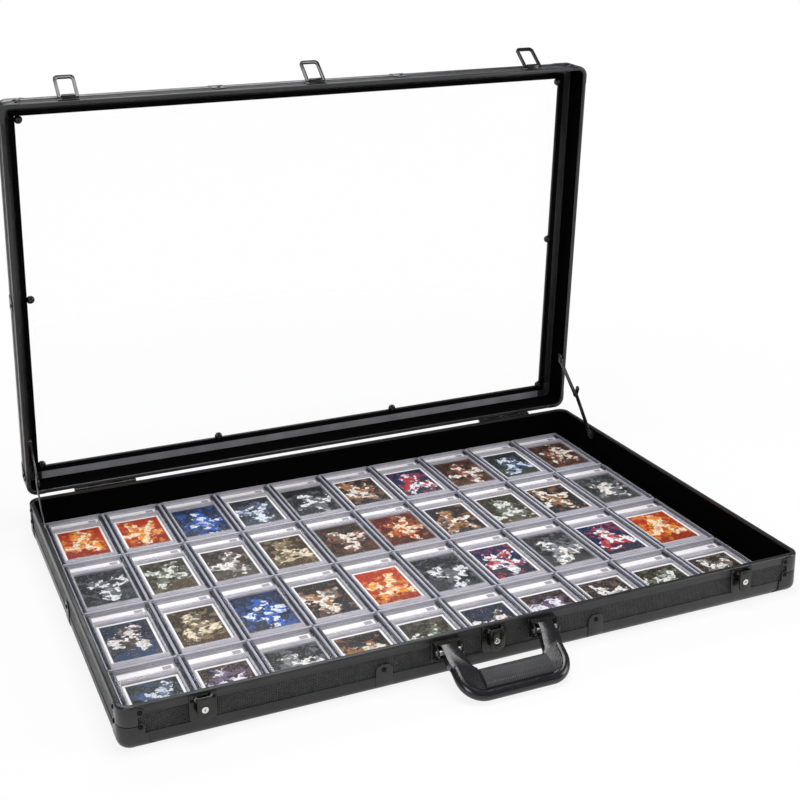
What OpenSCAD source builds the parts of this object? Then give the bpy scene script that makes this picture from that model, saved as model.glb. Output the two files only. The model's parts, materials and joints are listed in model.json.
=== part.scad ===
/* [Case] */
// Outside length of the case, along the front
case_l = 852; // [700:1:1000]
// Outside depth of the case, front to back
case_w = 546; // [440:1:620]
// Height of the tray, from the surface it stands on to its rim
tray_h = 50; // [46:0.5:64]
// Depth of the lid, from the closing plane to its outer face
lid_h = 44; // [41:0.5:58]
// Angle by which the lid stands open, from closed
lid_open = 86; // [70:1:88]
// Radius of the upright corners of the tray and the lid
corner_r = 14; // [12:0.5:18]

/* [Rails] */
// Thickness of a rail's upright leg, which is the wall of the case
leg_t = 3.5; // [3:0.1:5]
// Thickness of the outer lip that holds a side panel in its groove
lip_t = 0.5; // [0.4:0.1:1]
// Depth of the groove that a side panel sits in
groove_d = 5; // [3:0.5:6]
// Height of the tray's lower rail
base_rail_h = 18; // [15:0.5:22]
// Height of the tray's rim rail
rim_rail_h = 10; // [8.5:0.5:12]
// Height of the lid's outer rail
lid_rail_h = 18; // [14:0.5:22]
// Height of the lid's rim rail
lid_rim_h = 8.5; // [8.5:0.5:11]
// Height of the lip along the rim that hides the lining's edge
rim_lip_h = 3; // [2:0.5:3]
// Width of the rim
rim_w = 5; // [4.6:0.1:5.2]
// Radius along the tray's lower outside edge
base_edge_r = 9; // [6:0.5:10]
// Radius along the lid's outer edge
lid_edge_r = 6; // [4:0.5:7]
// Radius along the outside of the rims
rim_edge_r = 1.5; // [0.5:0.1:2.2]
// Thickness of the tray's bottom panel and of the rail foot beside it
bottom_t = 4; // [3:0.5:6]
// How far the lid's flange reaches in from the outer face, round the window
flange_w = 22.5; // [18:0.5:30]
// Thickness of the lid's flange
flange_t = 3; // [2:0.5:4]
// Gap between the rims of the closed case
rim_gap = 0.4; // [0.2:0.1:1]

/* [Linings and pane] */
// Thickness of the wall lining
lining_t = 0.7; // [0.4:0.1:1]
// Thickness of the floor pad under the cards
pad_t = 1; // [0.5:0.5:4]
// Thickness of the clear pane
pane_t = 3; // [2:0.5:4]
// Width of the dark strip round the window
strip_w = 6.4; // [4:0.2:10]
// Thickness of the dark strip
strip_t = 1.2; // [0.8:0.1:2]
// Diameter of a pane clip
clip_d = 11; // [8:0.5:14]
// Height of a pane clip
clip_h = 4.5; // [3:0.5:7]
// How far a clip's centre stands inside the window's edge
clip_in = 4.5; // [3:0.5:6]
// Sideways place of the clips along the hinge side
clip_x = 140; // [80:1:200]

/* [Corner castings, clamps and rivets] */
// Thickness by which castings and clamps stand out from the rails
cap_t = 0.9; // [0.6:0.1:1.4]
// Height of the seam between a tray corner's two castings
tray_seam = 27; // [24:0.5:30]
// Height of the seam between a lid corner's two castings, from the outer face
lid_seam = 24; // [22:0.5:25]
// Width of the open seam between two castings
seam_w = 0.8; // [0.2:0.1:1]
// Length of a rim casting's side, from the corner
rim_side_l = 20; // [18:0.5:20.5]
// Length of an outer casting's side, from the corner
base_side_l = 30; // [28:0.5:40]
// Distance of the casting rivets from the corner
rivet_x = 22; // [21:0.5:24]
// Distance of the upper casting rivets below the rim
rivet_drop = 8; // [6.5:0.5:9]
// Radius of the ear round a rivet
ear_r = 4.5; // [3.5:0.1:5]
// Head diameter of a rivet
rivet_head_d = 5.6; // [3.5:0.1:6]
// Shank diameter of a rivet
rivet_d = 3; // [2:0.1:3.2]
// Width of a wall clamp
clamp_w = 20; // [16:0.5:28]
// Height of a tray clamp's rounded top
clamp_top = 32; // [30:0.5:34]
// Sideways place of the clamps on the long sides
clamp_x = 134; // [100:1:170]

/* [Latches] */
// Distance of the outer latches from the case's ends
latch_end = 88; // [60:1:180]
// Width of a latch plate
latch_w = 30; // [29:0.5:36]
// Height of a latch plate
latch_h = 31; // [28:0.5:33]
// Thickness of the latch, hasp, hinge and handle plates
plate_t = 1.2; // [0.8:0.1:1.6]
// Width of a latch lever
lever_w = 16; // [13:0.5:17]
// Height of a latch lever
lever_h = 28; // [25:0.5:30]
// Thickness of a lever's face
lever_t = 1.6; // [1.2:0.1:2]
// Distance of a lever's pin from the case
lever_pin_y = 5.2; // [5:0.1:6]
// Diameter of a lever's pin
lever_pin_d = 2.5; // [2:0.1:3]
// Distance of a lever's outer face from the case
lever_out = 8.6; // [8.2:0.1:10]
// Diameter of a key barrel
key_d = 6.4; // [5:0.1:8]

/* [Hasps] */
// Width of a hasp plate
hasp_w = 28; // [24:0.5:34]
// Height of a hasp plate
hasp_h = 14; // [10:0.5:15]
// Outside width of a hasp loop
loop_w = 28; // [26:0.5:32]
// Length of a hasp loop from its pivot
loop_l = 36; // [32:0.5:37]
// Width of a loop's side bars
loop_bar = 4.2; // [2.5:0.1:4.4]
// Thickness of a loop
loop_t = 2.8; // [2:0.1:3]
// Distance of the loop's pivot from the closing plane
hasp_up = 9; // [8:0.5:12]
// Distance of the loop's pivot from the case
hasp_out = 4.2; // [3.8:0.1:4.6]
// Lean of a standing loop towards the lid's outer face
loop_lean = 53; // [20:1:70]

/* [Handle] */
// Distance between the handle's two arms, middle to middle
handle_arms = 121; // [100:1:160]
// Width of an arm
arm_w = 18; // [14:0.5:22]
// Thickness of the handle's frame
arm_t = 10; // [8:0.5:13]
// Distance from the handle's pin to the middle of its grip
handle_reach = 42.5; // [38:0.5:60]
// Height of the handle's pins
handle_z = 37; // [34:0.5:38]
// Distance of the handle's pins from the case
handle_out = 12; // [11:0.5:15]
// Drop of the lowered handle below level
handle_drop = 29.6; // [10:0.1:32]
// Width of the grip, across the hand
grip_w = 25; // [20:0.5:28]
// Thickness of the grip
grip_t = 20; // [16:0.5:24]
// Radius of the rim round the handle's outside
handle_rim_r = 6.5; // [5:0.1:8]
// How far the rim stands out past the grip
handle_rim_out = 10; // [6:0.5:14]
// Radius of the handle's outside corners
handle_corner_r = 30; // [20:1:40]
// Radius of the corners of the handle's opening
handle_hole_r = 10; // [5:0.5:12]
// Width of the handle's opening at the grip
handle_hole_w = 92; // [84:1:100]
// Length of pin seen on each side of an arm
pin_show = 4.4; // [2:0.1:6]
// Length of the grip sleeve
grip_l = 82; // [60:1:90]
// Diameter of the handle's pins
handle_pin_d = 5.5; // [4:0.1:6.5]

/* [Lid hinges] */
// Length of a hinge
hinge_l = 88; // [50:1:120]
// Distance of the hinges' outer ends from the case's ends
hinge_end = 64; // [34:1:160]
// Distance of the hinge pin behind the case
hinge_off = 2.2; // [2:0.1:2.6]
// Radius of a hinge's knuckles
knuckle_r = 1.9; // [1.6:0.1:1.9]
// Width of a hinge's leaves
leaf_w = 20; // [16:0.5:26]

/* [Lid stays] */
// Distance of a stay's lower pivot from the outside of the back
stay_back = 88; // [80:1:100]
// Height of a stay's lower pivot
stay_z = 37; // [35:0.5:38]
// Distance of a stay's upper pivot from the outside of the lid's hinge side
stay_up = 79; // [74:1:90]
// Depth of a stay's upper pivot from the closing plane
stay_in = 4; // [4:0.5:10]
// Length of a stay's lower link between pivots
link_l = 68; // [64:0.5:70]
// How far the locked elbow stands past the straight line
elbow_past = 4.7; // [2:0.1:8]
// Width of a link
link_w = 8; // [6:0.5:10]
// Thickness of a link
link_t = 1.6; // [1:0.1:1.6]
// Width of a stay's brackets
stay_plate_w = 14; // [12:0.5:17]
// Length of the thumb spur beyond the elbow
spur_l = 11; // [6:0.5:12]
// Turn of the thumb spur from its link
spur_turn = 60; // [40:1:90]

/* [Graded cards] */
// Thickness of a card holder
holder_t = 6.3; // [5:0.1:8]
// Least gap between neighbouring holders
holder_gap = 0.2; // [0.1:0.1:2]
// Width kept free of holders beside each side wall, for the stays
side_room = 12.8; // [12.6:0.1:20]
// Width of a card
card_w = 63.5; // [60:0.5:66]
// Length of a card
card_l = 88.9; // [86:0.1:90]
// Length of a label
label_l = 15.5; // [12:0.5:18]
// How far a label is wider than a card, on each side
label_over = 2.7; // [0:0.1:3]
// Width of a holder's edge beside the card
card_side = 8.9; // [8:0.1:12]
// Width of a holder's edge below the card
card_foot = 14.8; // [8:0.1:18]
// Gap between a card and its label
label_gap = 9; // [3:0.5:12]
// Width of a holder's edge above the label
label_head = 5.5; // [5:0.1:10]
// Width of the bonded edge round a holder's well
bond_w = 4; // [3:0.1:4.8]

/* [Hidden] */
$fn = 48;
black = "#232325";
charcoal = "#38383a";
felt = "#0c0c0d";
steel = "#8c8c90";
fit = 0.05;
air = 0.3;
reach = 60;
wall_t = leg_t + lining_t;
lid_wall_h = lid_h - rim_gap;
window_edge = flange_w;
skin_z = 3;
shank_in = leg_t - 0.5;
rivet_r = rivet_d / 2;
rivet_head_h = 1.3;
lid_top_z = tray_h + lid_h;
hinge_y = case_w / 2 + hinge_off;
hinge_pin_r = 0.9;
knuckles = 5;
latch_x = case_l / 2 - latch_end;
hinge_x = case_l / 2 - hinge_end - hinge_l / 2;
latch_xs = [-latch_x, 0, latch_x];
latch_z = tray_h - 2 - latch_h;
lever_top = tray_h - 2.5;
lever_pin_z = tray_h - 5.5;
cheek_t = 1;
key_z = tray_h - 16.5;
bracket_cheek = 2.5;
bracket_w = arm_w + 2 * (pin_show + bracket_cheek) + 2.4;
bracket_h = 24;
hood_l = 8;
hood_z = 9;
sleeve_t = 3.5;
handle_end = handle_reach + grip_w / 2 + handle_rim_out;
pin_end = handle_pin_d / 2 + 3.5;
rim_start = 24;
loop_end = 4.6;
loop_pin_r = 1.2;
barrel_l = loop_w - 2 * loop_bar - 2.8;
barrel_r = 3.2;
link_air = 0.3;
foot_t = 1.5;
stay_pin_r = 2;
head_r = 3.6;
head_t = 0.9;
link_x = case_l / 2 - wall_t - foot_t - air;
upper_link_x = link_x - link_t - link_air;
stay_y = case_w / 2 - stay_back;
inner_l = case_l - 2 * wall_t;
inner_w = case_w - 2 * wall_t;
holder_w = card_w + 2 * card_side;
holder_l = card_foot + card_l + label_gap + label_l + label_head;
label_w = card_w + 2 * label_over;
grid_l = inner_l - 2 * side_room;
columns = floor(grid_l / (holder_w + holder_gap));
rows = floor(inner_w / (holder_l + holder_gap));
pitch_x = grid_l / columns;
pitch_y = inner_w / rows;
card_mid = -holder_l / 2 + card_foot + card_l / 2;
label_mid = holder_l / 2 - label_head - label_l / 2;
well_w = holder_w - 2 * bond_w;
well_l = holder_l - 2 * bond_w;
floor_z = bottom_t + pad_t;
back_t = holder_t * 0.52;
front_t = holder_t - back_t;
frame_air = 0.2;
frame_h = 3.2;
shell_t = 1.1;
sheet_t = 0.4;

function side_half(i) = (i % 2 == 0 ? case_w : case_l) / 2;
function side_len(i) = i % 2 == 0 ? case_l : case_w;
function turned(p, a) = [p[0] * cos(a) - p[1] * sin(a), p[0] * sin(a) + p[1] * cos(a)];

// Pivots of a stay in the upright plane along the side wall, as depth and height
stay_foot = [stay_y, stay_z];
head_closed = [case_w / 2 - stay_up - hinge_y, stay_in];
stay_head = turned(head_closed, -lid_open) + [hinge_y, tray_h];
stay_span = norm(stay_head - stay_foot);
stay_dir = (stay_head - stay_foot) / stay_span;
elbow = stay_foot + stay_dir * sqrt(link_l * link_l - elbow_past * elbow_past)
    + [-stay_dir[1], stay_dir[0]] * elbow_past;
upper_link_l = norm(stay_head - elbow);
lower_angle = atan2(elbow[1] - stay_foot[1], elbow[0] - stay_foot[0]);
upper_angle = atan2(elbow[1] - stay_head[1], elbow[0] - stay_head[0]);

// Places a side's pieces: X along the wall, Y inwards from its outer face
module on_side(i) {
    rotate([0, 0, 90 * i]) translate([0, -side_half(i), 0]) children();
}

// Places a corner's pieces: X and Y both run inwards from the outer corner
module at_corners() {
    for (k = [0, 1]) rotate([0, 0, 180 * k]) {
        translate([-case_l / 2, -case_w / 2, 0]) children();
        translate([case_l / 2, -case_w / 2, 0]) mirror([1, 0, 0]) children();
    }
}

module both_walls() {
    children();
    mirror([1, -1, 0]) children();
}

// Turns the closed lid's pieces about the hinge pins to the open position
module with_lid() {
    translate([0, hinge_y, tray_h]) rotate([-lid_open, 0, 0]) translate([0, -hinge_y, -tray_h])
        children();
}

// Places the lid's wall pieces, which are drawn with their outer face down
module lid_shell() {
    with_lid() translate([0, 0, lid_top_z]) mirror([0, 0, 1]) children();
}

module run_x(length) {
    rotate([90, 0, 90]) linear_extrude(length, center = true) children();
}

module run_from(start, end) {
    translate([(start + end) / 2, 0, 0]) run_x(end - start) children();
}

// Stands a front view, drawn as X and Z, through the wall
module front_view() {
    rotate([90, 0, 0]) linear_extrude(2 * reach, center = true) children();
}

module rounded_rect(length, width, r) {
    square([length - 2 * r, width], center = true);
    square([length, width - 2 * r], center = true);
    for (x = [-1, 1], y = [-1, 1]) translate([x * (length / 2 - r), y * (width / 2 - r)]) circle(r);
}

// Everything inside an outer surface at x0, with its lower and upper edges rounded
module rounded_band(x0, h, r_low, r_high) {
    translate([x0, r_low]) square([reach, h - r_low - r_high]);
    translate([x0 + r_low, 0]) square([reach, h / 2]);
    translate([x0 + r_high, h / 2]) square([reach, h / 2]);
    translate([x0 + r_low, r_low]) circle(r_low);
    translate([x0 + r_high, h - r_high]) circle(r_high);
}

module rail_section(h, rail_h, foot, foot_h, edge_r) {
    intersection() {
        rounded_band(0, h, edge_r, rim_edge_r);
        union() {
            square([foot, foot_h]);
            square([leg_t, rail_h - groove_d]);
            square([lip_t, rail_h]);
        }
    }
}

module rim_section(h, rim_h, edge_r) {
    intersection() {
        rounded_band(0, h, edge_r, rim_edge_r);
        union() {
            translate([0, h - rim_h]) square([lip_t, rim_h]);
            translate([0, h - rim_h + groove_d]) square([leg_t, rim_h - groove_d]);
            translate([0, h - rim_lip_h]) square([rim_w, rim_lip_h]);
        }
    }
}

module casting_section(h, foot, foot_h, edge_r) {
    intersection() {
        rounded_band(-cap_t, h, edge_r + cap_t, rim_edge_r + cap_t);
        union() {
            translate([-cap_t, 0]) square([cap_t + leg_t, h]);
            square([foot, foot_h]);
            translate([0, h - rim_lip_h]) square([rim_w, rim_lip_h]);
        }
    }
}

module skin_section(h, edge_r) {
    difference() {
        rounded_band(-cap_t, h, edge_r + cap_t, rim_edge_r + cap_t);
        rounded_band(0, h, edge_r, rim_edge_r);
        translate([leg_t, -1]) square([2 * reach, h + 2]);
    }
}

module between(z0, z1) {
    intersection() {
        children();
        translate([-reach, z0]) square([3 * reach, z1 - z0]);
    }
}

module rivet() {
    rotate([90, 0, 0]) difference() {
        union() {
            translate([0, 0, -shank_in]) cylinder(h = shank_in + cap_t, r = rivet_r);
            translate([0, 0, cap_t]) cylinder(h = rivet_head_h / 2, r = rivet_head_d / 2);
            translate([0, 0, cap_t + rivet_head_h / 2])
                cylinder(h = rivet_head_h / 2, r1 = rivet_head_d / 2, r2 = rivet_head_d / 3);
        }
        translate([0, 0, cap_t + rivet_head_h - 0.5]) cylinder(h = 1, r = rivet_head_d / 6);
    }
}

module rivet_hole() {
    rotate([90, 0, 0]) translate([0, 0, -shank_in]) cylinder(h = shank_in + 2 * cap_t, r = rivet_r);
}

// Rivets of one shell: two on each side of every corner and one on each clamp
module rivet_places(h, seam) {
    at_corners() both_walls() {
        translate([rivet_x, 0, h - rivet_drop]) children();
        translate([rivet_x, 0, seam - 1.5]) children();
    }
    for (i = [0, 2], x = [-clamp_x, clamp_x]) on_side(i) translate([x, 0, seam - 1.5]) children();
    for (i = [1, 3]) on_side(i) translate([0, 0, seam - 1.5]) children();
}

module rail(i, h, rail_h, foot, foot_h, edge_r) {
    run = 2 * (foot + 2);
    on_side(i) run_x(side_len(i) - run) rail_section(h, rail_h, foot, foot_h, edge_r);
}

module rim(i, h, rim_h, edge_r, run, seam) {
    difference() {
        on_side(i) run_x(side_len(i) - 2 * run) rim_section(h, rim_h, edge_r);
        rivet_places(h, seam) rivet_hole();
    }
}

module panels(h, rail_h, rim_h, run, seam) {
    low = rail_h - groove_d;
    high = h - rim_h + groove_d;
    difference() {
        for (i = [0:3]) on_side(i) translate([-side_len(i) / 2 + run, lip_t, low])
            cube([side_len(i) - 2 * run, leg_t - lip_t, high - low]);
        rivet_places(h, seam) rivet_hole();
    }
}

module lining(low, high) {
    translate([0, 0, low]) linear_extrude(high - low) difference() {
        rounded_rect(case_l - 2 * leg_t, case_w - 2 * leg_t, corner_r - leg_t);
        rounded_rect(inner_l, inner_w, corner_r - wall_t);
    }
}

// The solid corner of a shell, from z0 to z1
module casting_core(h, foot, foot_h, edge_r, z0, z1) {
    translate([corner_r, corner_r, 0]) rotate([0, 0, 180]) rotate_extrude(angle = 90) intersection() {
        translate([corner_r, 0]) mirror([1, 0]) between(z0, z1)
            casting_section(h, foot, foot_h, edge_r);
        square([2 * corner_r, h]);
    }
    both_walls() run_from(corner_r, foot + 2) between(z0, z1)
        casting_section(h, foot, foot_h, edge_r);
}

module outer_side_view(seam, rail_h, foot) {
    flare = 8;
    cut_l = foot + 2 > rim_side_l ? reach : rim_side_l + seam_w;
    difference() {
        union() {
            translate([corner_r, skin_z]) square([base_side_l - corner_r, rail_h - skin_z]);
            translate([corner_r, skin_z]) square([rivet_x - corner_r, seam - skin_z]);
            translate([rivet_x, seam - 1.5]) circle(ear_r);
            translate([rivet_x - ear_r, rail_h - 1]) square([2 * ear_r, seam - 0.5 - rail_h]);
            translate([base_side_l - 0.01, skin_z]) difference() {
                square(flare);
                translate([flare, flare]) circle(flare);
            }
        }
        translate([0, seam]) square([cut_l, reach]);
    }
}

module rim_side_view(h, seam) {
    low = seam + seam_w;
    translate([corner_r, low]) square([rim_side_l - corner_r, h - rim_edge_r - low]);
    translate([rivet_x, h - rivet_drop]) circle(ear_r);
    translate([rim_side_l - 1, h - rivet_drop - ear_r])
        square([rivet_x - rim_side_l + 1, 2 * ear_r]);
}

module outer_castings(h, seam, rail_h, foot, foot_h, edge_r) {
    difference() {
        at_corners() {
            casting_core(h, foot, foot_h, edge_r, 0, seam);
            both_walls() intersection() {
                run_from(corner_r - 1, base_side_l + reach) skin_section(h, edge_r);
                front_view() outer_side_view(seam, rail_h, foot);
            }
        }
        rivet_places(h, seam) rivet_hole();
    }
}

module rim_castings(h, seam, foot, edge_r) {
    difference() {
        at_corners() {
            casting_core(h, foot, 0.01, edge_r, seam + seam_w, h);
            both_walls() intersection() {
                run_from(corner_r - 1, base_side_l + reach) skin_section(h, edge_r);
                front_view() rim_side_view(h, seam);
            }
        }
        rivet_places(h, seam) rivet_hole();
    }
}

module clamp_view(top) {
    r = clamp_w * 0.4;
    translate([-clamp_w / 2, skin_z]) square([clamp_w, top - r - skin_z]);
    translate([-clamp_w / 2 + r, skin_z]) square([clamp_w - 2 * r, top - skin_z]);
    for (s = [-1, 1]) translate([s * (clamp_w / 2 - r), top - r]) circle(r);
}

module clamps(h, top, edge_r, seam) {
    difference() {
        for (i = [0:3], x = i % 2 == 0 ? [-clamp_x, clamp_x] : [0]) on_side(i) translate([x, 0, 0])
            intersection() {
                run_x(clamp_w + 2) skin_section(h, edge_r);
                front_view() clamp_view(top);
            }
        rivet_places(h, seam) rivet_hole();
    }
}

module bottom_panel() {
    color(black) translate([0, 0, bottom_t / 2])
        cube([case_l - 2 * corner_r, case_w - 2 * corner_r, bottom_t], center = true);
}

module floor_pad() {
    color(felt) translate([0, 0, bottom_t]) linear_extrude(pad_t)
        rounded_rect(inner_l, inner_w, corner_r - wall_t);
}

module tray_lining() {
    color(felt) lining(bottom_t, tray_h - rim_lip_h);
}

module tray_panels() {
    color(charcoal) panels(tray_h, base_rail_h, rim_rail_h, corner_r + 2, tray_seam);
}

module base_rail(i) {
    color(charcoal) rail(i, tray_h, base_rail_h, corner_r, bottom_t, base_edge_r);
}

module rim_rails() {
    color(charcoal) for (i = [0:3])
        rim(i, tray_h, rim_rail_h, base_edge_r, corner_r + 2, tray_seam);
}

module base_corners() {
    color(charcoal)
        outer_castings(tray_h, tray_seam, base_rail_h, corner_r, bottom_t, base_edge_r);
}

module rim_corners() {
    color(charcoal) rim_castings(tray_h, tray_seam, corner_r, base_edge_r);
}

module tray_clamps() {
    color(charcoal) clamps(tray_h, clamp_top, base_edge_r, tray_seam);
}

module tray_rivets() {
    color(steel) rivet_places(tray_h, tray_seam) rivet();
}

module lever_pin_hole(r) {
    translate([0, -lever_pin_y, lever_pin_z]) rotate([0, 90, 0])
        cylinder(h = latch_w, r = r, center = true);
}

module latch_screw_places() {
    for (s = [-1, 1]) translate([s * (latch_w / 2 - 3), -plate_t, tray_h - rivet_drop]) children();
}

// Plate behind a lever, with a cheek for the pin on each side
module latch_plate() {
    r = 6;
    difference() {
        union() {
            intersection() {
                translate([-latch_w / 2, -plate_t, latch_z]) cube([latch_w, plate_t, latch_h]);
                front_view() {
                    translate([-latch_w / 2, latch_z + r]) square([latch_w, latch_h]);
                    translate([-latch_w / 2 + r, latch_z]) square([latch_w - 2 * r, latch_h]);
                    for (s = [-1, 1]) translate([s * (latch_w / 2 - r), latch_z + r]) circle(r);
                }
            }
            for (s = [-1, 1]) translate([s * (lever_w / 2 + air + cheek_t / 2), 0, lever_pin_z])
                rotate([90, 0, 90]) linear_extrude(cheek_t, center = true) {
                    translate([-lever_pin_y, 0]) circle(2.8);
                    translate([-lever_pin_y, -2.8]) square([lever_pin_y - plate_t / 2, 5.6]);
                }
        }
        lever_pin_hole(lever_pin_d / 2);
        latch_screw_places() rotate([90, 0, 0]) cylinder(h = 3 * plate_t, r = 1.1, center = true);
    }
}

module latch_plates() {
    color(black) on_side(0) for (x = latch_xs) translate([x, 0, 0]) latch_plate();
}

module latch_screws() {
    color(steel) on_side(0) for (x = latch_xs) translate([x, 0, 0]) latch_screw_places()
        rotate([90, 0, 0]) difference() {
            union() {
                translate([0, 0, -plate_t]) cylinder(h = plate_t, r = 1.1);
                cylinder(h = 0.8, r1 = 2.2, r2 = 1.6);
            }
            translate([0, 0, 0.6]) cube([3, 0.5, 0.5], center = true);
        }
}

module latch_pins() {
    color(steel) on_side(0) for (x = latch_xs)
        translate([x, -lever_pin_y, lever_pin_z]) rotate([0, 90, 0])
            cylinder(h = lever_w + 2 * (air + cheek_t) + 0.8, r = lever_pin_d / 2, center = true);
}

// Lever that closes down over the loop: its tooth holds the loop's end bar
module latch_lever(x) {
    face_y = -lever_out;
    foot_z = lever_top - lever_h + lever_w / 2;
    tooth_z = tray_h + hasp_up - loop_l + loop_end + 0.8;
    tooth_w = 10;
    tooth_h = 3;
    side_t = 1.2;
    ear = 3;
    side_h = 8;
    ridge_h = 1.2;
    color(black) on_side(0) translate([x, 0, 0]) difference() {
        union() {
            translate([0, face_y + lever_t, 0]) rotate([90, 0, 0]) linear_extrude(lever_t) {
                translate([-lever_w / 2, foot_z]) square([lever_w, lever_top - foot_z]);
                translate([0, foot_z]) circle(lever_w / 2);
            }
            for (s = [-1, 1]) translate([s * (lever_w - side_t) / 2, 0, lever_pin_z])
                rotate([90, 0, 90]) linear_extrude(side_t, center = true) {
                    translate([-lever_pin_y, 0]) circle(ear);
                    translate([face_y + lever_t / 2, -side_h])
                        square([lever_out - lever_pin_y - lever_t / 2, lever_top - lever_pin_z + side_h]);
                }
            translate([-tooth_w / 2, face_y + lever_t / 2, tooth_z])
                cube([tooth_w, lever_out - lever_t / 2 - hasp_out + 0.8, tooth_h]);
            translate([-lever_w / 4, face_y - 0.9, lever_top - ear])
                cube([lever_w / 2, 1 + lever_t / 2, ridge_h]);
        }
        lever_pin_hole(lever_pin_d / 2 + fit);
        translate([0, face_y, key_z]) rotate([90, 0, 0])
            cylinder(h = 4 * lever_t, r = key_d / 2 + fit, center = true);
    }
}

module key_barrel(x) {
    color("silver") on_side(0) translate([x, -lever_out - 0.7, key_z]) rotate([-90, 0, 0]) difference() {
        union() {
            cylinder(h = 0.7 - fit, r = key_d / 2 + 0.5);
            cylinder(h = 0.7 + lever_t + 1.4, r = key_d / 2);
        }
        translate([0, 0, 0.5]) cube([0.9, key_d * 0.6, 3], center = true);
        cylinder(h = 3, r = key_d / 5, center = true);
    }
}

module handle_pin_bar(r, length) {
    translate([0, -handle_out, handle_z]) rotate([0, 90, 0]) cylinder(h = length, r = r, center = true);
}

// Clevis for one arm of the handle, with a hood above the arm
module handle_bracket() {
    z0 = handle_z + hood_z - bracket_h;
    cheek_x = arm_w / 2 + pin_show + bracket_cheek / 2;
    lug_r = 5;
    difference() {
        union() {
            translate([-bracket_w / 2, -plate_t, z0]) cube([bracket_w, plate_t, bracket_h]);
            for (s = [-1, 1]) translate([s * cheek_x, 0, handle_z]) rotate([90, 0, 90])
                linear_extrude(bracket_cheek, center = true) {
                    translate([-handle_out, 0]) circle(lug_r);
                    polygon([[-plate_t / 2, hood_z - bracket_h], [-plate_t / 2, hood_z],
                        [-hood_l, hood_z], [-handle_out, lug_r], [-handle_out, -lug_r]]);
                }
            translate([-cheek_x, -hood_l, handle_z + hood_z - plate_t])
                cube([2 * cheek_x, hood_l, plate_t]);
        }
        handle_pin_bar(handle_pin_d / 2, bracket_w);
    }
}

module handle_brackets() {
    color(black) on_side(0) for (s = [-1, 1]) translate([s * handle_arms / 2, 0, 0])
        handle_bracket();
}

module handle_pins() {
    color("silver") on_side(0) for (s = [-1, 1]) translate([s * handle_arms / 2, 0, 0])
        handle_pin_bar(handle_pin_d / 2, bracket_w - 0.8);
}

// Places the handle, drawn flat with its pins on the X axis and its grip towards -Y
module handle_pose() {
    translate([0, -case_w / 2 - handle_out, handle_z]) rotate([handle_drop, 0, 0]) children();
}

// Opening of the handle, seen flat
module handle_opening() {
    grip_edge = handle_reach - grip_w / 2;
    top_x = (handle_arms - arm_w) / 2;
    low_x = handle_hole_w / 2;
    translate([-low_x + handle_hole_r, -grip_edge]) square([2 * (low_x - handle_hole_r), grip_edge]);
    for (s = [-1, 1]) translate([s * (low_x - handle_hole_r), -grip_edge + handle_hole_r])
        circle(handle_hole_r);
    polygon([[-top_x, reach], [-top_x, 0], [-low_x, -grip_edge + handle_hole_r],
        [low_x, -grip_edge + handle_hole_r], [top_x, 0], [top_x, reach]]);
    translate([0, -grip_edge]) square([grip_l, 2 * sleeve_t], center = true);
}

// Flat part of the handle's frame, which ends in the middle of the rim
module handle_outline() {
    half = (handle_arms + arm_w) / 2;
    bend_x = half - handle_corner_r;
    bend_r = handle_corner_r - handle_rim_r;
    bend_y = handle_corner_r - handle_end;
    difference() {
        union() {
            polygon([[-half, pin_end], [-half, -rim_start + handle_rim_r], [-bend_x - bend_r, bend_y],
                [bend_x + bend_r, bend_y], [half, -rim_start + handle_rim_r], [half, pin_end]]);
            translate([-bend_x, bend_y - bend_r]) square([2 * bend_x, bend_r]);
            for (s = [-1, 1]) translate([s * bend_x, bend_y]) circle(bend_r);
        }
        handle_opening();
    }
}

// Round rim along the outside of the handle, with round ends on the arms
module handle_rim() {
    bend_x = (handle_arms + arm_w) / 2 - handle_corner_r;
    bend_y = handle_corner_r - handle_end;
    bend_r = handle_corner_r - handle_rim_r;
    translate([0, bend_y - bend_r, 0]) run_x(2 * bend_x) circle(handle_rim_r);
    for (m = [0, 1]) mirror([m, 0, 0]) translate([bend_x, bend_y, 0]) {
        rotate([0, 0, -90]) rotate_extrude(angle = 90) translate([bend_r, 0]) circle(handle_rim_r);
        translate([bend_r, 0, 0]) rotate([-90, 0, 0]) rotate_extrude() {
            square([handle_rim_r, -rim_start - bend_y]);
            intersection() {
                translate([0, -rim_start - bend_y]) circle(handle_rim_r);
                translate([0, -rim_start - bend_y]) square(handle_rim_r);
            }
        }
    }
}

module handle_frame() {
    color(charcoal) handle_pose() difference() {
        union() {
            translate([0, 0, -arm_t / 2]) linear_extrude(arm_t) handle_outline();
            handle_rim();
        }
        rotate([0, 90, 0]) cylinder(h = 4 * handle_arms, r = handle_pin_d / 2 + fit, center = true);
    }
}

module handle_grip() {
    rim_y = handle_end - handle_reach - handle_rim_r;
    color(black) handle_pose() translate([0, -handle_reach, 0]) run_x(grip_l) difference() {
        rounded_rect(grip_w, grip_t, grip_t * 0.4);
        translate([-reach + grip_w / 2 - sleeve_t, -arm_t / 2]) square([reach, arm_t]);
        translate([-rim_y, 0]) circle(handle_rim_r + air);
    }
}

// Hinge leaf with every other knuckle, drawn for the tray
module hinge_leaf(first) {
    step = hinge_l / knuckles;
    top = knuckle_r + air;
    difference() {
        union() {
            translate([-hinge_l / 2, -plate_t, -leaf_w]) cube([hinge_l, plate_t, leaf_w - top]);
            for (k = [first:2:knuckles - 1]) translate([-hinge_l / 2 + k * step + air / 2, 0, 0]) {
                translate([0, -hinge_off, 0]) rotate([0, 90, 0])
                    cylinder(h = step - air, r = knuckle_r);
                translate([0, -plate_t, -top - 0.5]) cube([step - air, plate_t - air, top + 0.5]);
            }
        }
        translate([0, -hinge_off, 0]) rotate([0, 90, 0])
            cylinder(h = 2 * hinge_l, r = hinge_pin_r + (first == 0 ? 0 : fit), center = true);
    }
}

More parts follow.
